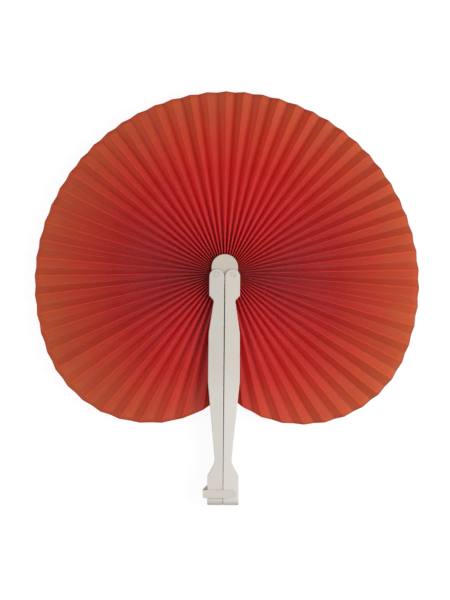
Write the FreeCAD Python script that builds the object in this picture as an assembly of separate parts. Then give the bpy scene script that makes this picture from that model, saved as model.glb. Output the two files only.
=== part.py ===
import FreeCAD, Part

import math
import os

from FreeCAD import Rotation, Vector

# Pocket hand fan that opens to a round pleated leaf.  All sizes are in millimetres.
# The fan lies on its back: +X to the right, +Y from the handle to the top of the
# leaf, +Z from the back to the front.  Each shape is first built about the hub, and
# the whole fan is then moved so that its outline is centred on the origin.

# Sticks: two channel mouldings that stand side by side as the handle when open
STICK_DEPTH = 14.0          # from the back face to the front face
WALL = 1.2                  # wall of the channel
SLIT = 0.5                  # gap between the two sticks of the handle, at the pivots
SLIT_BELLY = 0.7            # where they bow a little apart
SLIT_FOOT = 0.2             # where the clasp draws them together
SLIT_BOW = 6000.0           # radius of that bow
ARCH_TOP = 3.4              # top of a stick above its pivot
ARCH_FLAT = 0.1             # straight run between the two rounded corners of that top
SHOULDER = 10.1             # half widths of the handle, measured from the slit's middle
NECK = 7.0
BELLY_TOP = 10.25
BELLY_LOW = 10.45
WAIST = 5.35
FOOT = 10.25
SHOULDER_LENGTH = 13.9      # stretches of the outline, from the pivots down
NECK_TAPER = 3.5
BELLY_SWELL = 21.3
BELLY_LENGTH = 32.0
WAIST_TAPER = 53.3
FOOT_FLARE = 8.8
FOOT_LENGTH = 19.0
SHOULDER_ROUND = 0.8        # corner radii of that outline
NECK_ROUND = 2.0
BELLY_ROUND = 25.0
WAIST_ROUND = 11.5
FOOT_ROUND = 0.7
FOOT_SLIT_ROUND = 0.5
EDGE_ROUND = 0.4            # moulded rounding along the outline of both faces
FOOT_NOSE_ROUND = 4.5       # the front face rolls back into the end of the foot
SPINE_DROP = 6.0            # the wall along the slit starts this far below the pivots
FOOT_BLOCK = 11.0           # solid end of the foot, under the channel
CHANNEL_ROUND = 1.6

# Hub: two plates joined by a post, with a pin for each cheek of each stick
PIVOT_SPACING = 11.2
PIN_RADIUS = 1.6
PIN_PLAY = 0.1              # radial play of a stick on its pin
PLATE = 1.0
SIDE_PLAY = 0.3             # between a plate and the cheek that turns over it
PLATE_HALF_WIDTH = 8.65
PLATE_TOP = 13.15
PLATE_DROP = 3.4
PLATE_ROUND = 3.0
PLATE_CROWN = 0.2           # straight run at the very top of the dome
POST_RADIUS = 1.5
POST_TENON_RADIUS = 1.0

# Clasp: a bail pinned to the foot of the right stick, which holds the left one
CLASP_PIVOT_X = 5.5
CLASP_PIVOT_RISE = 7.35     # above the end of the foot
CLASP_ARM = 1.0
CLASP_BACK_ARM = 0.9
CLASP_PLAY = 0.3            # between an arm and the face that it slides over
CLASP_HALF_WIDTH = 2.6
CLASP_BRIDGE = 1.0
CLASP_REACH = 17.7          # from the pivot to the inside of the bridge
CLASP_TIP = 2.5             # from the pivot to the tip, which is the lower of two corners
CLASP_TIP_DROP = 0.7
CLASP_TIP_ROUND = 1.2
CLASP_BROW = 0.8            # the upper edge ends this far past the pivot
CLASP_BROW_ROUND = 0.6
CLASP_HEEL = 1.6            # the lower edge turns up to the tip this far before the pivot
CLASP_HEEL_ROUND = 6.0
CLASP_WING = 2.5            # the back arm stands this much taller on its upper edge
CLASP_WING_ROUND = 2.0
CLASP_PIN_RADIUS = 1.1
CLASP_PIN_PLAY = 0.1
CLASP_REST_GAP = 0.1        # the back arm stays this far off the table

# Leaf: one pleated sheet, gathered at the hub and glued to a stick at each end
PLEATS_LEFT = 30
PLEATS_RIGHT = 31
GORES_PER_SIDE = 10         # the leaf is divided for folding, about three pleats to a gore
PAPER = 0.12
PANEL_WIDTH = 8.3           # width of the strip between two folds
LEAF_PLAY = 0.3             # between the gathered root and the hub plates
GLUE_GAP = 0.2              # between the last fold and the spine that it is glued to
ROOT_RISE = 2.4             # the folded root starts this far above the pivots
ROOT_HALF_RISE = 0.3        # half the height of the sheet's cut edge at the root
LEAF_RADIUS = 126.3
LEAF_CENTRE_X = 1.4         # centre of the round outline, to the right of the slit
LEAF_CENTRE_DROP = 6.1      # and below the pivots
LOBE_X = 50.1               # tighter arcs at the lower left and right, from that centre
LOBE_DROP = 19.7
SCALLOP = 0.25              # front folds reach this far past the outline
EVEN_SHARE = 0.95           # share of the leaf's turn that is spread evenly
CROWDING = 6.0              # power by which the pleats widen towards the handle

# Values that follow from those above
PIVOT_X = PIVOT_SPACING / 2
SLIT_HALF = SLIT / 2
ARCH_ROUND = (SHOULDER - SLIT_HALF - ARCH_FLAT) / 2
PLATE_DOME_ROUND = PLATE_HALF_WIDTH - PLATE_CROWN / 2
NECK_DROP = SHOULDER_LENGTH + NECK_TAPER
BELLY_TOP_DROP = NECK_DROP + BELLY_SWELL
BELLY_LOW_DROP = BELLY_TOP_DROP + BELLY_LENGTH
WAIST_DROP = BELLY_LOW_DROP + WAIST_TAPER
FOOT_DROP = WAIST_DROP + FOOT_FLARE
STICK_DROP = FOOT_DROP + FOOT_LENGTH
SPINE_INNER = SLIT_HALF + WALL
BACK_PLATE_Z = WALL + SIDE_PLAY
FRONT_PLATE_Z = STICK_DEPTH - WALL - SIDE_PLAY - PLATE
LEAF_MID_Z = STICK_DEPTH / 2
ROOT_AMPLITUDE = (FRONT_PLATE_Z - BACK_PLATE_Z - PLATE) / 2 - LEAF_PLAY - ROOT_HALF_RISE
PANELS = {-1: 2 * PLEATS_LEFT, 1: 2 * PLEATS_RIGHT}
HALF_STACK = PIVOT_SPACING - SPINE_INNER - GLUE_GAP
FRONT_ARM_Z = STICK_DEPTH + CLASP_PLAY
CLASP_TOP_Z = FRONT_ARM_Z + CLASP_ARM
FOOT_RECESS = CLASP_REST_GAP + CLASP_BACK_ARM + CLASP_PLAY
CLASP_PIVOT_Y = CLASP_PIVOT_RISE - STICK_DROP
FOOT_RECESS_TOP = CLASP_PIVOT_Y + CLASP_HALF_WIDTH + CLASP_WING + CLASP_PLAY
LEAF_TOP = LEAF_RADIUS - LEAF_CENTRE_DROP
HUB_X = -LEAF_CENTRE_X
HUB_Y = (STICK_DROP - LEAF_TOP) / 2
FAR = 4 * STICK_DROP        # longer than any piece, for cutting right through


def rounded_face(corners):
    """Flat face inside a polygon of (x, y, radius) corners, each one a tangent arc."""
    count = len(corners)
    edges = []
    ends = []
    for i, (x, y, radius) in enumerate(corners):
        corner = Vector(x, y, 0)
        back = Vector(*corners[i - 1][:2], 0) - corner
        ahead = Vector(*corners[(i + 1) % count][:2], 0) - corner
        half_angle = back.getAngle(ahead) / 2
        back.normalize()
        ahead.normalize()
        inward = (back + ahead).normalize()
        run = radius / math.tan(half_angle)
        depth = radius / math.sin(half_angle) - radius
        start, end = corner + back * run, corner + ahead * run
        edges.append(Part.Arc(start, corner + inward * depth, end).toShape())
        ends.append((start, end))
    for i in range(count):
        edges.append(Part.LineSegment(ends[i][1], ends[(i + 1) % count][0]).toShape())
    return Part.Face(Part.Wire(Part.__sortEdges__(edges)))


def slab(corners, low, high):
    """Plate with a rounded outline, between two heights."""
    return rounded_face(corners).extrude(Vector(0, 0, high - low)).translated(Vector(0, 0, low))


def box(x0, x1, y0, y1, z0, z1):
    return Part.makeBox(x1 - x0, y1 - y0, z1 - z0, Vector(x0, y0, z0))


def rod(radius, x, y, z0, z1):
    return Part.makeCylinder(radius, z1 - z0, Vector(x, y, z0))


def mirrored(shape):
    return shape.mirror(Vector(0, 0, 0), Vector(1, 0, 0))


def stick_outline():
    return [
        (SLIT_HALF, ARCH_TOP, ARCH_ROUND),
        (SHOULDER, ARCH_TOP, ARCH_ROUND),
        (SHOULDER, -SHOULDER_LENGTH, SHOULDER_ROUND),
        (NECK, -NECK_DROP, NECK_ROUND),
        (BELLY_TOP, -BELLY_TOP_DROP, BELLY_ROUND),
        (BELLY_LOW, -BELLY_LOW_DROP, BELLY_ROUND),
        (WAIST, -WAIST_DROP, WAIST_ROUND),
        (FOOT, -FOOT_DROP, FOOT_ROUND),
        (FOOT, -STICK_DROP, FOOT_ROUND),
        (SLIT_FOOT / 2, -STICK_DROP, FOOT_SLIT_ROUND),
        (SLIT_BELLY / 2, -BELLY_TOP_DROP, SLIT_BOW),
    ]


def foot_nose():
    """What is trimmed off the front of the foot so that it rolls back into its end."""
    corner = box(0, FAR, -STICK_DROP, FOOT_NOSE_ROUND - STICK_DROP,
                 STICK_DEPTH - FOOT_NOSE_ROUND, STICK_DEPTH)
    roll = Part.makeCylinder(
        FOOT_NOSE_ROUND, FAR,
        Vector(0, FOOT_NOSE_ROUND - STICK_DROP, STICK_DEPTH - FOOT_NOSE_ROUND),
        Vector(1, 0, 0))
    return corner.cut(roll)


def stick():
    """Right stick: a channel open to the right, with cheeks that turn on the hub."""
    blank = slab(stick_outline(), 0, STICK_DEPTH)
    rims = [e for e in blank.Edges if e.BoundBox.ZLength < EDGE_ROUND]
    blank = blank.makeFillet(EDGE_ROUND, rims)
    channel_floor = FOOT_BLOCK - STICK_DROP
    channel = slab(
        [(SPINE_INNER, channel_floor, CHANNEL_ROUND), (FAR, channel_floor, CHANNEL_ROUND),
         (FAR, FAR, CHANNEL_ROUND), (SPINE_INNER, FAR, CHANNEL_ROUND)],
        WALL, STICK_DEPTH - WALL)
    above_spine = box(0, FAR, -SPINE_DROP, FAR, WALL, STICK_DEPTH - WALL)
    recess = box(0, FAR, -FAR, FOOT_RECESS_TOP, 0, FOOT_RECESS)
    pivot_holes = rod(PIN_RADIUS + PIN_PLAY, PIVOT_X, 0, 0, STICK_DEPTH)
    return blank.cut([channel, above_spine, recess, foot_nose(), pivot_holes])


def clasp_pin_hole():
    return rod(CLASP_PIN_RADIUS + CLASP_PIN_PLAY, CLASP_PIVOT_X, CLASP_PIVOT_Y, 0, STICK_DEPTH)


def hub_plate(z):
    """Domed link plate: its top shows above the sticks, its foot carries the pins."""
    plate = slab(
        [(-PLATE_HALF_WIDTH, -PLATE_DROP, PLATE_ROUND),
         (PLATE_HALF_WIDTH, -PLATE_DROP, PLATE_ROUND),
         (PLATE_HALF_WIDTH, PLATE_TOP, PLATE_DOME_ROUND),
         (-PLATE_HALF_WIDTH, PLATE_TOP, PLATE_DOME_ROUND)],
        z, z + PLATE)
    holes = [rod(PIN_RADIUS, side * PIVOT_X, 0, z, z + PLATE) for side in (-1, 1)]
    return plate.cut([rod(POST_TENON_RADIUS, 0, 0, z, z + PLATE)] + holes)


def hub_post():
    """Spacer post with a tenon into each plate; the leaf is gathered round it."""
    post = rod(POST_RADIUS, 0, 0, BACK_PLATE_Z + PLATE, FRONT_PLATE_Z)
    return post.fuse(rod(POST_TENON_RADIUS, 0, 0, BACK_PLATE_Z, FRONT_PLATE_Z + PLATE))


def pivot_pin(side, front):
    """Plain pin pressed into a plate, with its end flush in the stick's face."""
    if front:
        return rod(PIN_RADIUS, side * PIVOT_X, 0, FRONT_PLATE_Z, STICK_DEPTH)
    return rod(PIN_RADIUS, side * PIVOT_X, 0, 0, BACK_PLATE_Z + PLATE)


def clasp():
    """Bail of two arms and a bridge; the back arm has a taller, bevelled edge."""
    outer = -CLASP_REACH - CLASP_BRIDGE
    half = CLASP_HALF_WIDTH
    tall = half + CLASP_WING
    corner = CLASP_BRIDGE / 2
    edge = [
        (outer, half, corner),
        (outer, -half, corner),
        (-CLASP_HEEL, -half, CLASP_HEEL_ROUND),
        (CLASP_TIP, -CLASP_TIP_DROP, CLASP_TIP_ROUND),
        (CLASP_BROW, half, CLASP_BROW_ROUND),
    ]
    wing = [(0, tall, CLASP_WING_ROUND), (outer + CLASP_WING, tall, corner)]
    front = slab(edge, FRONT_ARM_Z, CLASP_TOP_Z)
    back = slab(edge + wing, CLASP_REST_GAP, CLASP_REST_GAP + CLASP_BACK_ARM)
    bridge = box(outer, -CLASP_REACH, corner - half, half - corner,
                 CLASP_REST_GAP, CLASP_TOP_Z)
    bail = front.fuse([back, bridge]).removeSplitter()
    bail = bail.cut(rod(CLASP_PIN_RADIUS, 0, 0, 0, CLASP_TOP_Z))
    return bail.translated(Vector(CLASP_PIVOT_X, CLASP_PIVOT_Y, 0))


def clasp_pin():
    return rod(CLASP_PIN_RADIUS, CLASP_PIVOT_X, CLASP_PIVOT_Y, CLASP_REST_GAP, CLASP_TOP_Z)


def reach(start, heading, centre, radius):
    """Distance from a point inside a circle to the circle, along a heading."""
    offset = start - centre
    along = offset.dot(heading)
    return math.sqrt(along ** 2 - offset.dot(offset) + radius ** 2) - along


def from_top(point, centre):
    """Angle of a point about a centre, measured from straight up to either side."""
    return math.atan2(abs(point.x - centre.x), point.y - centre.y)


def fold_line(number, side):
    """Root and rim of a fold, drawn on the right: it stands upright in the closed stack
    and opens by turning about the stick's pivot.  Side is -1 for the left half."""
    share = number / PANELS[side]
    turn = 180 * (EVEN_SHARE * share + (1 - EVEN_SHARE) * share ** CROWDING)
    pivot = Vector(PIVOT_X, 0, 0)
    opened = Rotation(Vector(0, 0, 1), -turn)
    stacked = Vector(HALF_STACK * share, ROOT_RISE, 0)
    root = pivot + opened.multVec(stacked - pivot)
    heading = opened.multVec(Vector(0, 1, 0))
    centre = Vector(side * LEAF_CENTRE_X, -LEAF_CENTRE_DROP, 0)
    lobe = centre + Vector(LOBE_X, -LOBE_DROP, 0)
    length = reach(root, heading, centre, LEAF_RADIUS)
    if from_top(root + heading * length, centre) > from_top(lobe, centre):
        length = reach(root, heading, lobe, LEAF_RADIUS - lobe.distanceToPoint(centre))
    edge = SCALLOP if number % 2 == 0 else -SCALLOP
    return root, root + heading * (length + edge)


def fold_corners(number, side):
    """The fold's four corners: root top, rim top, rim bottom, root bottom.  The middle
    fold, which both halves share, takes its height from the right half."""
    root, rim = fold_line(number, side)
    beside = fold_line(number - 1, side)[1] if number else fold_line(1, 1)[1]
    pitch = rim.distanceToPoint(beside)
    depth = math.sqrt(PANEL_WIDTH ** 2 - pitch ** 2) / 2
    half_rise = PAPER / 2 / math.sin(math.atan2(pitch, 2 * depth))
    face = 1 if number % 2 == 0 else -1
    levels = [
        (root, face * ROOT_AMPLITUDE + ROOT_HALF_RISE),
        (rim, face * depth + half_rise),
        (rim, face * depth - half_rise),
        (root, face * ROOT_AMPLITUDE - ROOT_HALF_RISE),
    ]
    return [point + Vector(0, 0, LEAF_MID_Z + height) for point, height in levels]


def flat(*corners):
    return Part.Face(Part.makePolygon(list(corners) + [corners[0]]))


def gore(index, side):
    """One gore of half the leaf, drawn on the right: pleats of thin sheet between two
    folds."""
    first = round(index * PANELS[side] / GORES_PER_SIDE)
    last = round((index + 1) * PANELS[side] / GORES_PER_SIDE)
    folds = [fold_corners(number, side) for number in range(first, last + 1)]
    faces = [flat(*folds[0]), flat(*folds[-1])]
    for near, far in zip(folds, folds[1:]):
        root_top, rim_top, rim_low, root_low = near
        next_root_top, next_rim_top, next_rim_low, next_root_low = far
        faces += [
            flat(root_top, rim_top, next_rim_top),
            flat(root_top, next_rim_top, next_root_top),
            flat(root_low, rim_low, next_rim_low),
            flat(root_low, next_rim_low, next_root_low),
            flat(rim_top, next_rim_top, next_rim_low, rim_low),
            flat(root_top, next_root_top, next_root_low, root_low),
        ]
    solid = Part.Solid(Part.Shell(faces))
    if solid.Volume < 0:
        solid.reverse()
    return solid


def fan():
    """Every piece of the fan by name, about the hub."""
    right_stick = stick()
    pieces = {
        "left_stick": mirrored(right_stick),
        "right_stick": right_stick.cut(clasp_pin_hole()),
        "hub_front_plate": hub_plate(FRONT_PLATE_Z),
        "hub_back_plate": hub_plate(BACK_PLATE_Z),
        "hub_post": hub_post(),
        "left_front_pin": pivot_pin(-1, True),
        "left_back_pin": pivot_pin(-1, False),
        "right_front_pin": pivot_pin(1, True),
        "right_back_pin": pivot_pin(1, False),
        "clasp": clasp(),
        "clasp_pin": clasp_pin(),
    }
    for index in range(GORES_PER_SIDE):
        pieces[f"leaf_right_{index + 1}"] = gore(index, 1)
        pieces[f"leaf_left_{index + 1}"] = mirrored(gore(index, -1))
    return pieces


os.makedirs("parts", exist_ok=True)
for name, shape in fan().items():
    shape.translate(Vector(HUB_X, HUB_Y, 0))
    shape.exportStep(f"parts/{name}.step")
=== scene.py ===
import math

import bpy
import numpy as np
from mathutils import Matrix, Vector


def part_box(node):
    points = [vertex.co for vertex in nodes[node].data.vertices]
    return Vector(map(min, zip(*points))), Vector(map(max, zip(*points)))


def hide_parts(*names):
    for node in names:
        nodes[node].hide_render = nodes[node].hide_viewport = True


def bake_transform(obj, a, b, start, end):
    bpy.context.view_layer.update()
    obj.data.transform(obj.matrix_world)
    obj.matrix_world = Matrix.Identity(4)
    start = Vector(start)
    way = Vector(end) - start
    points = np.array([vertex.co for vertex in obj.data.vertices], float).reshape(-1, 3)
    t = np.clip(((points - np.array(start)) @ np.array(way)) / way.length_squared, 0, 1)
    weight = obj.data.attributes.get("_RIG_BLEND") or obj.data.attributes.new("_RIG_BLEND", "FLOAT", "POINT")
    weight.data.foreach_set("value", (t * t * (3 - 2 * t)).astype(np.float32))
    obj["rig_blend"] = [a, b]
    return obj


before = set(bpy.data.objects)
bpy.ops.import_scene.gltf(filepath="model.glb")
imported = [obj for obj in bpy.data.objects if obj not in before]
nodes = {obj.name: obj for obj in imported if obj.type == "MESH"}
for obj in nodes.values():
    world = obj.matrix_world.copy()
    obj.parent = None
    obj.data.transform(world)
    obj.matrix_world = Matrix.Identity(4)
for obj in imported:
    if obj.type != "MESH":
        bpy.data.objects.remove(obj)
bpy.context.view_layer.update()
scene = bpy.context.scene


# ---------------------------------------------------------------- hub
# Two small domed plates, a post between them and four pins, all moulded in
# off-white plastic.  The plates lie inside the sticks and carry their pivots;
# the foot of the leaf is gathered round the post.

HUB_CREAM = (0.570, 0.518, 0.450)
PIN_CREAM = (0.600, 0.560, 0.498)
CLOUDING = 0.04
SPECK = (0.30, 0.24, 0.18, 1)


def add(material, kind, inputs=(), **settings):
    """New shader node, with its properties and then its plain values by socket name."""
    node = material.node_tree.nodes.new(kind)
    for key, value in settings.items():
        setattr(node, key, value)
    for socket, value in dict(inputs).items():
        node.inputs[socket].default_value = value
    return node


def join(material, *steps):
    """Links given as (from node, output, to node, input)."""
    for source, output, target, name in steps:
        material.node_tree.links.new(source.outputs[output], target.inputs[name])


def moulded_plastic(name, colour, seed):
    """Satin injection-moulded plastic: faint milky clouds, fine grain, a few dark specks
    and uneven gloss."""
    material = bpy.data.materials.new(name)
    material.use_nodes = True
    shader = material.node_tree.nodes["Principled BSDF"]
    place = add(material, "ShaderNodeTexCoord")
    shift = add(material, "ShaderNodeMapping", {"Location": (seed, 0.7 * seed, 0.3 * seed)})
    clouds = add(material, "ShaderNodeTexNoise", {"Scale": 70.0, "Detail": 3.0})
    darker = [c * (1 - CLOUDING) for c in colour] + [1]
    lighter = [c * (1 + CLOUDING) for c in colour] + [1]
    cloudy = add(material, "ShaderNodeMix", {"A": darker, "B": lighter}, data_type="RGBA")
    specks = add(material, "ShaderNodeTexVoronoi", {"Scale": 240.0})
    speck_size = add(material, "ShaderNodeMapRange", {
        "From Min": 0.045, "From Max": 0.07, "To Min": 0.35, "To Max": 0.0})
    speckled = add(material, "ShaderNodeMix", {"B": SPECK}, data_type="RGBA")
    grain = add(material, "ShaderNodeTexNoise", {"Scale": 2600.0, "Detail": 2.0})
    highlight_amount = add(material, "ShaderNodeTexNoise", {"Scale": 140.0, "Detail": 2.0})
    gloss = add(material, "ShaderNodeMapRange", {"To Min": 0.36, "To Max": 0.54})
    bump = add(material, "ShaderNodeBump", {"Strength": 0.12, "Distance": 0.00005})
    join(
        material,
        (place, "Object", shift, "Vector"),
        (shift, "Vector", clouds, "Vector"),
        (shift, "Vector", specks, "Vector"),
        (shift, "Vector", grain, "Vector"),
        (shift, "Vector", highlight_amount, "Vector"),
        (clouds, "Fac", cloudy, "Factor"),
        (cloudy, "Result", speckled, "A"),
        (specks, "Distance", speck_size, "Value"),
        (speck_size, "Result", speckled, "Factor"),
        (speckled, "Result", shader, "Base Color"),
        (highlight_amount, "Fac", gloss, "Value"),
        (gloss, "Result", shader, "Roughness"),
        (grain, "Fac", bump, "Height"),
        (bump, "Normal", shader, "Normal"),
    )
    return material


def finish_nodes(material, *names):
    """Gives CAD pieces their material."""
    for name in names:
        for held in nodes[name].material_slots:
            held.material = material


hub_plastic = moulded_plastic("hub_plastic", HUB_CREAM, seed=1.0)
pin_plastic = moulded_plastic("pin_plastic", PIN_CREAM, seed=2.0)
finish_nodes(hub_plastic, "hub_front_plate", "hub_back_plate")
finish_nodes(pin_plastic, "hub_post", "left_front_pin", "left_back_pin",
             "right_front_pin", "right_back_pin")


# ---------------------------------------------------------------- sticks
# Two mirrored channel mouldings.  Each turns on its two pins and is glued along
# its wall to one end of the leaf; side by side they make the waisted handle.

# The left stick's cream is darker than the right one's: painted shade.
LEFT_SHADED_CREAM = (0.657, 0.626, 0.574)
RIGHT_CREAM = (0.705, 0.675, 0.624)
# Painted shade on the upper part of each stick and at the tip of its foot.
LEFT_PAINTED_SHADE = (0.915, 0.905, 0.885, 1)
RIGHT_PAINTED_SHADE = (0.900, 0.870, 0.845, 1)
# Painted red glow on the wall where the sticks meet, which warms the slit.
WALL_RED_GLOW = (1.0, 0.74, 0.66, 1)

left_low, left_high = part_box("left_stick")
MEETING_X = (left_high.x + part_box("right_stick")[0].x) / 2

# Where each painted shade starts and where it is full, up from the end of the foot.
SHADE_FROM, SHADE_TO = left_low.y + 0.061, left_low.y + 0.101
TIP_SHADE_FROM, TIP_SHADE_TO = left_low.y + 0.0035, left_low.y + 0.0010

# Where the wall's painted red glow is full and where it ends, sideways from the line on
# which the sticks meet and up to their face.
RED_WITHIN, RED_LIMIT = 0.00045, 0.00075
RED_BELOW, RED_TOP = left_high.z - 0.0006, left_high.z - 0.0002


def paint_shade_and_red_glow(material, shade):
    """Painted shade on the upper part of a stick, where it lies over the leaf, and at the tip
    of its foot, and a painted red glow on the wall that meets the other stick, which warms
    the slit between them."""
    shader = material.node_tree.nodes["Principled BSDF"]
    colour = shader.inputs["Base Color"].links[0].from_node
    place = add(material, "ShaderNodeTexCoord")
    axes = add(material, "ShaderNodeSeparateXYZ")
    # Painted shade up the stick and at the tip of the foot.
    up = add(material, "ShaderNodeMapRange", {"From Min": SHADE_FROM, "From Max": SHADE_TO},
             interpolation_type="SMOOTHSTEP")
    tip = add(material, "ShaderNodeMapRange", {"From Min": TIP_SHADE_FROM, "From Max": TIP_SHADE_TO},
              interpolation_type="SMOOTHSTEP")
    either = add(material, "ShaderNodeMath", operation="MAXIMUM")
    painted_shade = add(material, "ShaderNodeMix", {"B": shade}, data_type="RGBA",
                 blend_type="MULTIPLY")
    # Painted red glow on the meeting wall.
    offset = add(material, "ShaderNodeMath", {1: MEETING_X}, operation="SUBTRACT")
    distance = add(material, "ShaderNodeMath", operation="ABSOLUTE")
    meeting = add(material, "ShaderNodeMapRange", {
        "From Min": RED_WITHIN, "From Max": RED_LIMIT,
        "To Min": 1.0, "To Max": 0.0})
    below_edge = add(material, "ShaderNodeMapRange", {
        "From Min": RED_BELOW, "From Max": RED_TOP,
        "To Min": 1.0, "To Max": 0.0})
    wall = add(material, "ShaderNodeMath", operation="MULTIPLY")
    red_glow_painted = add(material, "ShaderNodeMix", {"B": WALL_RED_GLOW}, data_type="RGBA",
                   blend_type="MULTIPLY")
    join(
        material,
        (place, "Object", axes, "Vector"),
        (axes, "Y", up, "Value"),
        (axes, "Y", tip, "Value"),
        (up, "Result", either, 0),
        (tip, "Result", either, 1),
        (either, "Value", painted_shade, "Factor"),
        (colour, "Result", painted_shade, "A"),
        (axes, "X", offset, 0),
        (offset, "Value", distance, 0),
        (distance, "Value", meeting, "Value"),
        (axes, "Z", below_edge, "Value"),
        (meeting, "Result", wall, 0),
        (below_edge, "Result", wall, 1),
        (wall, "Value", red_glow_painted, "Factor"),
        (painted_shade, "Result", red_glow_painted, "A"),
        (red_glow_painted, "Result", shader, "Base Color"),
    )


left_plastic = moulded_plastic("left_stick_plastic", LEFT_SHADED_CREAM, seed=3.0)
right_plastic = moulded_plastic("right_stick_plastic", RIGHT_CREAM, seed=5.0)
paint_shade_and_red_glow(left_plastic, LEFT_PAINTED_SHADE)
paint_shade_and_red_glow(right_plastic, RIGHT_PAINTED_SHADE)
finish_nodes(left_plastic, "left_stick")
finish_nodes(right_plastic, "right_stick")


# ---------------------------------------------------------------- leaf
# One strip of dyed red paper, machine-pleated into 122 panels.  Its foot is
# gathered at the hub and its two end panels are glued to the walls of the sticks.
# It is modelled as two halves that meet in the fold at the top.

PANELS = {"left": 60, "right": 62}
PANEL_WIDTH = 0.0083
PAPER = 0.00012
HALF_STACK = 0.00955          # half of the folded block that lies in the sticks
ROOT_RISE = 0.0024            # from the line of the pivots to the foot of each fold
LEAF_RADIUS = 0.1263
LEAF_CENTRE_X = 0.0014        # from the hub to the middle of the outline
LEAF_CENTRE_DROP = 0.0061
LOBE_X = 0.0501               # from there to the middle of a lower lobe
LOBE_DROP = 0.0197
SCALLOP = 0.00025             # front folds reach further out by this, back folds less
EVEN_SHARE = 0.95
CROWDING = 6.0
FOLD_ROUND = 0.05             # share of a panel taken by the rounding at each fold
FOLD_ASTRAY = 0.0022          # sideways per metre of fold, as a standard deviation
LEVEL_ASTRAY = 0.00012        # in height at the rim, likewise
PANEL_BELLY = 0.00008         # bulge of a panel near the rim, likewise
ROWS = 30
PANEL_STEPS = np.array([0, 0.017, 0.05, 0.2, 0.5, 0.8, 0.95, 0.983])

post_low, post_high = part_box("hub_post")
hub = np.array((post_low + post_high) / 2)
pin_low, pin_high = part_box("right_front_pin")
PIVOT_X = (pin_low.x + pin_high.x) / 2 - hub[0]


def fold_lines(side):
    """Root, heading, length and turn of each fold of one half, drawn on the right about
    the hub.  Closed, a fold stands upright a share s of the half stack from the middle.
    Open, it has turned about the stick's pivot by a half turn times
    EVEN_SHARE s + (1 - EVEN_SHARE) s ^ CROWDING.  Its length runs from the root to the
    round outline: the main circle, or the smaller one of the lobe beyond its centre."""
    share = np.arange(PANELS[side] + 1) / PANELS[side]
    turn = np.pi * (EVEN_SHARE * share + (1 - EVEN_SHARE) * share**CROWDING)
    x = HALF_STACK * share - PIVOT_X
    root = np.stack(
        [PIVOT_X + x * np.cos(turn) + ROOT_RISE * np.sin(turn),
         -x * np.sin(turn) + ROOT_RISE * np.cos(turn)], 1)
    heading = np.stack([np.sin(turn), np.cos(turn)], 1)

    def reach(centre, radius):
        offset = root - centre
        along = (offset * heading).sum(1)
        return np.sqrt(along**2 - (offset**2).sum(1) + radius**2) - along

    centre = np.array([LEAF_CENTRE_X if side == "right" else -LEAF_CENTRE_X,
                       -LEAF_CENTRE_DROP])
    lobe = centre + (LOBE_X, -LOBE_DROP)
    length = reach(centre, LEAF_RADIUS)
    rim = root + heading * length[:, None] - centre
    past_lobe = np.arctan2(rim[:, 0], rim[:, 1]) > np.arctan2(LOBE_X, -LOBE_DROP)
    lobe_radius = LEAF_RADIUS - np.hypot(LOBE_X, LOBE_DROP)
    length = np.where(past_lobe, reach(lobe, lobe_radius), length)
    front = np.arange(len(share)) % 2 == 0
    return root, heading, length + np.where(front, SCALLOP, -SCALLOP), turn


def pleats(side):
    """Each fold in plan as points from root to rim, turned a little astray, with its
    length and turn, and half the height of each panel: the leg of a right triangle on
    the panel's width and the gap between its two folds."""
    root, heading, length, turn = fold_lines(side)
    astray = np.random.default_rng(len(side)).normal(0, FOLD_ASTRAY, len(turn))
    astray[[0, -1]] = 0
    across = np.stack([heading[:, 1], -heading[:, 0]], 1)
    course = heading + across * astray[:, None]
    out = length[:, None] * np.linspace(0, 1, ROWS)
    fold = root[:, None] + course[:, None] * out[..., None]
    gap = np.hypot(*np.moveaxis(fold[1:] - fold[:-1], 2, 0))
    return fold, length, turn, np.sqrt(PANEL_WIDTH**2 - gap**2) / 2


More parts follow.
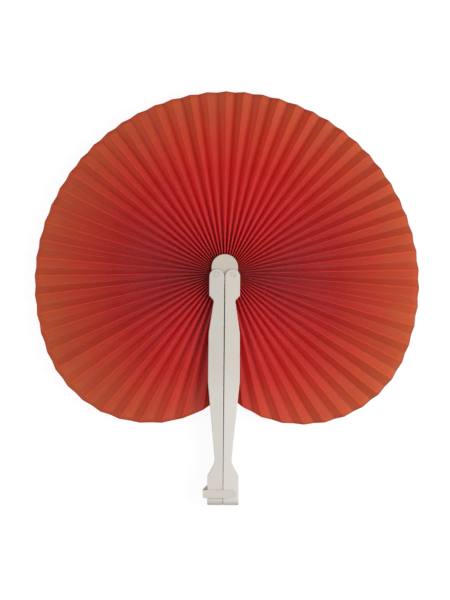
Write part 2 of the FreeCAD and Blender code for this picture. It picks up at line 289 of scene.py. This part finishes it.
def leaf_half(side):
    """Half of the pleated sheet as a grid: u counts panels from the middle fold to the
    stick, v runs from root to rim.  In plan a point lies on the straight line between
    its two folds.  Its height swings between the fronts and the backs of the folds,
    and each fold is rounded by a parabola.  The middle fold is as high on both halves.
    The whole is a little uneven: folds stray in height and panels belly, by more
    towards the rim."""
    fold, length, turn, panel_rise = pleats(side)
    count = PANELS[side]
    random = np.random.default_rng(len(side) + 10)
    v = np.linspace(0, 1, ROWS)
    middle_rise = pleats("right")[3][:1]
    rise = np.concatenate(
        [middle_rise, (panel_rise[1:] + panel_rise[:-1]) / 2, panel_rise[-1:]])
    facing = np.where(np.arange(count + 1) % 2 == 0, 1.0, -1.0)[:, None]
    level = rise * facing
    level[1:-1] += random.normal(0, LEVEL_ASTRAY, count - 1)[:, None] * v

    u = np.append((np.arange(count)[:, None] + PANEL_STEPS).ravel(), count)
    panel = np.minimum(u.astype(int), count - 1)
    part = (u - panel)[:, None]
    near, far = level[panel], level[panel + 1]
    height = near * (1 - part) + far * part
    height -= near * np.clip(FOLD_ROUND - part, 0, None) ** 2 / FOLD_ROUND
    height -= far * np.clip(FOLD_ROUND - 1 + part, 0, None) ** 2 / FOLD_ROUND
    belly = random.normal(0, PANEL_BELLY, count)[panel][:, None]
    height += belly * np.sin(np.pi * part) * np.sin(np.pi * v / 2) ** 2
    plan = fold[panel] * (1 - part[..., None]) + fold[panel + 1] * part[..., None]
    mirror = 1 if side == "right" else -1
    points = np.stack(
        [hub[0] + mirror * plan[..., 0], hub[1] + plan[..., 1], hub[2] + height], 2)

    columns = len(u)
    index = np.arange(columns * ROWS).reshape(columns, ROWS)
    quads = np.stack([index[:-1, :-1], index[:-1, 1:], index[1:, 1:], index[1:, :-1]], 2)
    quads = quads.reshape(-1, 4)[:, ::-mirror]
    mesh = bpy.data.meshes.new(f"leaf_{side}")
    mesh.from_pydata(points.reshape(-1, 3).tolist(), [], quads.tolist())
    strip = np.stack(np.broadcast_arrays(
        (u / count)[:, None], length[panel][:, None] * v / length.max()), 2)
    corners = np.empty(len(mesh.loops), np.int32)
    mesh.loops.foreach_get("vertex_index", corners)
    mesh.uv_layers.new(name="strip").data.foreach_set(
        "uv", strip.reshape(-1, 2)[corners].ravel())
    mesh.attributes.new("panel", "FLOAT", "POINT").data.foreach_set(
        "value", np.repeat(u, ROWS).astype(np.float32))
    rim_gap = length[panel][:, None] * (1 - v)
    mesh.attributes.new("rim_gap", "FLOAT", "POINT").data.foreach_set(
        "value", rim_gap.astype(np.float32).ravel())
    mesh.polygons.foreach_set("use_smooth", np.ones(len(mesh.polygons), bool))
    half = bpy.data.objects.new(f"leaf_{side}", mesh)
    scene.collection.objects.link(half)
    sheet = half.modifiers.new("paper", "SOLIDIFY")
    sheet.thickness = PAPER
    sheet.offset = 0
    sheet.use_even_offset = False
    sheet.material_offset = 1

    follow = turn[panel] * (1 - part[:, 0]) + turn[panel + 1] * part[:, 0]
    weight = np.repeat(follow / np.pi, ROWS).astype(np.float32)
    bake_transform(half, "hub", f"{side}_stick", start=(hub[0], hub[1], hub[2]),
             end=(hub[0] + mirror * PIVOT_X, hub[1], hub[2]))
    mesh.attributes["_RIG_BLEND"].data.foreach_set("value", weight)
    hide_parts(*[n for n in nodes if n.startswith(f"leaf_{side}_")])
    return half


# The thin dyed sheet glows when lit from behind, and passes a share of the light, mostly
# red, on to what lies behind it.
GLOW = (0.95, 0.02, 0.02, 1)
GLOW_SHARE = 0.50
LET_THROUGH = (0.855, 0.18, 0.18, 1)
UNDERSIDE = (0.20, 0.80, 0.80, 1)
# Painted highlight along each ridge, in the next two lines.
HIGHLIGHT_LEAST, HIGHLIGHT_MOST = 0.5, 0.9
RIDGE_HIGHLIGHT = (0.72, 0.24, 0.15, 1)
FLECK = (0.75, 0.48, 0.40, 1)
# Painted shade along the rim of the sheet.
RIM_SHADE = (0.16, 0.035, 0.018, 1)
STRIP_SCALE = (0.5, 0.13, 0)  # metres of paper per strip coordinate

# Colours at shares of the way from root to rim: on the ridges, and down in the folds, where
# painted light makes them lighter and redder than the dye on the ridges.
RIDGE_DYE = [(0.00, (0.445, 0.028, 0.055)),
             (0.16, (0.440, 0.022, 0.044)),
             (0.33, (0.435, 0.022, 0.032)),
             (0.55, (0.460, 0.030, 0.028)),
             (0.76, (0.535, 0.083, 0.033)),
             (0.88, (0.535, 0.124, 0.039)),
             (1.00, (0.555, 0.168, 0.046))]
FOLD_DYE_AND_PAINTED_LIGHT = [(0.00, (0.895, 0.500, 0.580)),
            (0.16, (0.855, 0.360, 0.450)),
            (0.33, (0.800, 0.221, 0.256)),
            (0.55, (0.720, 0.123, 0.102)),
            (0.76, (0.650, 0.160, 0.084)),
            (0.88, (0.575, 0.188, 0.087)),
            (1.00, (0.555, 0.224, 0.087))]


def pleated_paper(name, first_ridge):
    """Dyed red paper, seen in strip coordinates.  The dye turns from crimson at the foot
    to orange brown at the rim with a cloudy border.  Down in the folds painted light, for
    the light that comes through the thin sheet, makes it lighter, purer and redder than on
    its ridges, and each ridge carries a fine painted highlight line.  Each panel has its own
    tone, there are fibres and pale flecks, and painted shade darkens the rim.  The ridges
    are the folds with even numbers on the front, and the odd ones on the back."""
    material = bpy.data.materials.new(name)
    material.use_nodes = True
    shader = material.node_tree.nodes["Principled BSDF"]
    shader.inputs["Roughness"].default_value = 0.78
    strip = add(material, "ShaderNodeUVMap", uv_map="strip")
    metres = add(material, "ShaderNodeVectorMath", {1: STRIP_SCALE}, operation="MULTIPLY")
    axes = add(material, "ShaderNodeSeparateXYZ")
    drift = add(material, "ShaderNodeTexNoise", {"Scale": 55.0, "Detail": 3.0})
    stray = add(material, "ShaderNodeMapRange", {"To Min": -0.10, "To Max": 0.10})
    along = add(material, "ShaderNodeMath", operation="ADD")
    # The fold ramp is the dye with painted light on it.
    ridge_dye, fold_dye_and_light = [add(material, "ShaderNodeValToRGB") for _ in range(2)]
    for ramp, dye in ((ridge_dye.color_ramp, RIDGE_DYE), (fold_dye_and_light.color_ramp, FOLD_DYE_AND_PAINTED_LIGHT)):
        while len(ramp.elements) < len(dye):
            ramp.elements.new(0.5)
        for element, (position, colour) in zip(ramp.elements, dye):
            element.position = position
            element.color = (*colour, 1)

    panel = add(material, "ShaderNodeAttribute", attribute_name="panel")
    from_ridge = add(material, "ShaderNodeMath", {1: first_ridge}, operation="ADD")
    depth = add(material, "ShaderNodeMath", {1: 1.0}, operation="PINGPONG")
    dye_and_fold_light = add(material, "ShaderNodeMix", data_type="RGBA")
    number = add(material, "ShaderNodeMath", operation="FLOOR")
    lot = add(material, "ShaderNodeTexWhiteNoise", noise_dimensions="1D")
    tone = add(material, "ShaderNodeMapRange", {"To Min": 0.93, "To Max": 1.06})
    toned = add(material, "ShaderNodeVectorMath", operation="SCALE")

    mottle = add(material, "ShaderNodeTexNoise", {"Scale": 420.0, "Detail": 4.0})
    mottle_level = add(material, "ShaderNodeMapRange", {"To Min": 0.90, "To Max": 1.10})
    mottled = add(material, "ShaderNodeVectorMath", operation="SCALE")

    # Painted highlight along each ridge.
    highlight_width = add(material, "ShaderNodeMapRange", {
        "From Min": 0.005, "From Max": 0.024, "To Min": 1.0, "To Max": 0.0})
    highlight_breakup = add(material, "ShaderNodeTexNoise", {"Scale": 160.0, "Detail": 2.0})
    highlight_level = add(material, "ShaderNodeMapRange", {
        "From Min": 0.35, "From Max": 0.65, "To Min": HIGHLIGHT_LEAST, "To Max": HIGHLIGHT_MOST})
    highlight_amount = add(material, "ShaderNodeMath", operation="MULTIPLY")
    ridge_highlighted = add(material, "ShaderNodeMix", {"B": RIDGE_HIGHLIGHT}, data_type="RGBA")

    flecks = add(material, "ShaderNodeTexVoronoi", {"Scale": 330.0})
    fleck_size = add(material, "ShaderNodeMapRange", {
        "From Min": 0.04, "From Max": 0.07, "To Min": 0.6, "To Max": 0.0})
    flecked = add(material, "ShaderNodeMix", {"B": FLECK}, data_type="RGBA")

    # Painted shade along the rim.
    rim_gap = add(material, "ShaderNodeAttribute", attribute_name="rim_gap")
    rim_shade_width = add(material, "ShaderNodeMapRange", {
        "From Min": 0.00015, "From Max": 0.00055, "To Min": 0.6, "To Max": 0.0})
    rim_shaded = add(material, "ShaderNodeMix", {"B": RIM_SHADE}, data_type="RGBA")

    behind = add(material, "ShaderNodeBsdfTranslucent", {"Color": GLOW})
    sheet = add(material, "ShaderNodeMixShader", {"Fac": GLOW_SHARE})
    clear = add(material, "ShaderNodeBsdfTransparent", {"Color": LET_THROUGH})
    light_path = add(material, "ShaderNodeLightPath")
    thin_sheet = add(material, "ShaderNodeMixShader")
    fibres = add(material, "ShaderNodeTexNoise", {"Scale": 1500.0, "Detail": 3.0})
    bump = add(material, "ShaderNodeBump", {"Strength": 0.25, "Distance": 0.00006})
    join(
        material,
        (strip, "UV", axes, "Vector"),
        (strip, "UV", metres, 0),
        (metres, "Vector", drift, "Vector"),
        (metres, "Vector", mottle, "Vector"),
        (metres, "Vector", highlight_breakup, "Vector"),
        (metres, "Vector", flecks, "Vector"),
        (metres, "Vector", fibres, "Vector"),
        (drift, "Fac", stray, "Value"),
        (axes, "Y", along, 0),
        (stray, "Result", along, 1),
        (along, "Value", ridge_dye, "Fac"),
        (along, "Value", fold_dye_and_light, "Fac"),
        (panel, "Fac", from_ridge, 0),
        (from_ridge, "Value", depth, 0),
        (ridge_dye, "Color", dye_and_fold_light, "A"),
        (fold_dye_and_light, "Color", dye_and_fold_light, "B"),
        (depth, "Value", dye_and_fold_light, "Factor"),
        (panel, "Fac", number, 0),
        (number, "Value", lot, "W"),
        (lot, "Value", tone, "Value"),
        (dye_and_fold_light, "Result", toned, 0),
        (tone, "Result", toned, "Scale"),
        (mottle, "Fac", mottle_level, "Value"),
        (toned, "Vector", mottled, 0),
        (mottle_level, "Result", mottled, "Scale"),
        (depth, "Value", highlight_width, "Value"),
        (highlight_breakup, "Fac", highlight_level, "Value"),
        (highlight_width, "Result", highlight_amount, 0),
        (highlight_level, "Result", highlight_amount, 1),
        (mottled, "Vector", ridge_highlighted, "A"),
        (highlight_amount, "Value", ridge_highlighted, "Factor"),
        (ridge_highlighted, "Result", flecked, "A"),
        (flecks, "Distance", fleck_size, "Value"),
        (fleck_size, "Result", flecked, "Factor"),
        (flecked, "Result", rim_shaded, "A"),
        (rim_gap, "Fac", rim_shade_width, "Value"),
        (rim_shade_width, "Result", rim_shaded, "Factor"),
        (rim_shaded, "Result", shader, "Base Color"),
        (fibres, "Fac", bump, "Height"),
        (bump, "Normal", shader, "Normal"),
        (shader, 0, sheet, 1),
        (behind, 0, sheet, 2),
        (light_path, "Is Shadow Ray", thin_sheet, 0),
        (sheet, 0, thin_sheet, 1),
        (clear, 0, thin_sheet, 2),
        (thin_sheet, 0, material.node_tree.nodes["Material Output"], "Surface"),
    )
    return material


def plain_shadow(material):
    """Greys the light that passes the sheet on its way to the table, so that the red
    sheet leaves a plain shadow.  Such light is traced up from the table, so its ray meets
    the underside first, from outside."""
    clear = material.node_tree.nodes["Transparent BSDF"]
    light_path = add(material, "ShaderNodeLightPath")
    first = add(material, "ShaderNodeMath", {1: 0.5}, operation="LESS_THAN")
    met = add(material, "ShaderNodeNewGeometry")
    outside = add(material, "ShaderNodeMath", {0: 1.0}, operation="SUBTRACT")
    from_below = add(material, "ShaderNodeMath", operation="MULTIPLY")
    passed = add(material, "ShaderNodeMix", {"A": LET_THROUGH, "B": UNDERSIDE},
                 data_type="RGBA")
    join(
        material,
        (light_path, "Transparent Depth", first, 0),
        (met, "Backfacing", outside, 1),
        (first, "Value", from_below, 0),
        (outside, "Value", from_below, 1),
        (from_below, "Value", passed, "Factor"),
        (passed, "Result", clear, "Color"),
    )


leaf_front = pleated_paper("leaf_front", first_ridge=0)
leaf_back = pleated_paper("leaf_back", first_ridge=1)
plain_shadow(leaf_back)
for side in PANELS:
    half = leaf_half(side)
    half.data.materials.append(leaf_front)
    half.data.materials.append(leaf_back)


# ---------------------------------------------------------------- clasp
# A small bail pinned to the foot of the right stick.  It swings over the foot of
# the left stick and holds the handle together.

CLASP_CREAM = (0.645, 0.604, 0.540)

clasp_plastic = moulded_plastic("clasp_plastic", CLASP_CREAM, seed=4.0)
finish_nodes(clasp_plastic, "clasp", "clasp_pin")


# ---------------------------------------------------------------- table
# A plain white table top.  Seen directly it glows a clean white, with painted shade that
# fades it out where the fan covers it closely, and a little of it is lit, so that a soft
# shadow stays.

TABLE_HALF = 4.0
TABLE_GREY = (0.6, 0.6, 0.6, 1)
LIT_GREY = (0.15, 0.15, 0.15, 1)
TABLE_GLOW = 0.88
COVER_REACH = 0.006
COVERED, UNCOVERED = 0.1, 0.5
table = bpy.data.meshes.new("table")
table.from_pydata(
    [(-TABLE_HALF, -TABLE_HALF, 0), (TABLE_HALF, -TABLE_HALF, 0),
     (TABLE_HALF, TABLE_HALF, 0), (-TABLE_HALF, TABLE_HALF, 0)], [], [(0, 1, 2, 3)])
table_top = bpy.data.objects.new("table", table)
scene.collection.objects.link(table_top)

table_white = bpy.data.materials.new("table_white")
table_white.use_nodes = True
white = table_white.node_tree.nodes["Principled BSDF"]
white.inputs["Base Color"].default_value = TABLE_GREY
white.inputs["Roughness"].default_value = 0.9
# Painted shade: the glow fades where the fan covers the table closely.
painted_cover_shade = add(table_white, "ShaderNodeAmbientOcclusion", {"Distance": COVER_REACH})
glow_level = add(table_white, "ShaderNodeMapRange", {
    "From Min": COVERED, "From Max": UNCOVERED, "To Min": 0.0, "To Max": TABLE_GLOW})
clean = add(table_white, "ShaderNodeEmission", {"Color": (1, 1, 1, 1)})
shaded = add(table_white, "ShaderNodeBsdfDiffuse", {"Color": LIT_GREY})
bright = add(table_white, "ShaderNodeAddShader")
rays = add(table_white, "ShaderNodeLightPath")
seen = add(table_white, "ShaderNodeMixShader")
join(
    table_white,
    (painted_cover_shade, "AO", glow_level, "Value"),
    (glow_level, "Result", clean, "Strength"),
    (clean, 0, bright, 0),
    (shaded, 0, bright, 1),
    (rays, "Is Camera Ray", seen, 0),
    (white, 0, seen, 1),
    (bright, 0, seen, 2),
    (seen, 0, table_white.node_tree.nodes["Material Output"], "Surface"),
)
table.materials.append(table_white)


# ---------------------------------------------------------------- light
# A pale room and two soft lamps above the fan: the stronger one to the right, the
# weaker one to the left.

ROOM_STRENGTH = 0.546
world = bpy.data.worlds.new("room")
scene.world = world
world.use_nodes = True
room = world.node_tree.nodes["Background"]
room.inputs["Color"].default_value = (1, 1, 1, 1)
room.inputs["Strength"].default_value = ROOM_STRENGTH
backdrop = add(world, "ShaderNodeBackground", {"Color": (1, 1, 1, 1), "Strength": 1.0})
room_rays = add(world, "ShaderNodeLightPath")
room_seen = add(world, "ShaderNodeMixShader")
join(
    world,
    (room_rays, "Is Camera Ray", room_seen, 0),
    (room, 0, room_seen, 1),
    (backdrop, 0, room_seen, 2),
    (room_seen, 0, world.node_tree.nodes["World Output"], "Surface"),
)

RIGHT_LAMP = {"place": (0.56, -0.03, 0.46), "size": 0.45, "power": 3.17}
LEFT_LAMP = {"place": (-0.65, -0.09, 0.45), "size": 0.40, "power": 1.35}


def soft_lamp(name, place, size, power):
    """Round soft lamp that faces the middle of the fan."""
    light = bpy.data.lights.new(name, "AREA")
    light.shape = "DISK"
    light.size = size
    light.energy = power
    lamp = bpy.data.objects.new(name, light)
    scene.collection.objects.link(lamp)
    lamp.location = place
    lamp.rotation_mode = "QUATERNION"
    lamp.rotation_quaternion = lamp.location.to_track_quat("Z", "Y")


soft_lamp("right_lamp", **RIGHT_LAMP)
soft_lamp("left_lamp", **LEFT_LAMP)


# ---------------------------------------------------------------- camera
# A long lens straight above the fan, turned a little so that the handle leans.

CAMERA_PLACE = (-0.0011, -0.0011, 3.0)
LEAN = math.radians(0.51)
SENSOR = 36
FRAME_HEIGHT = 0.396          # metres of table seen from top to bottom

camera_data = bpy.data.cameras.new("camera")
camera_data.sensor_width = SENSOR
camera_data.lens = SENSOR * CAMERA_PLACE[2] / FRAME_HEIGHT
camera_data.clip_end = 20
camera = bpy.data.objects.new("camera", camera_data)
camera.location = CAMERA_PLACE
camera.rotation_euler = (0, 0, LEAN)
scene.collection.objects.link(camera)
scene.camera = camera
scene.view_settings.view_transform = "Standard"
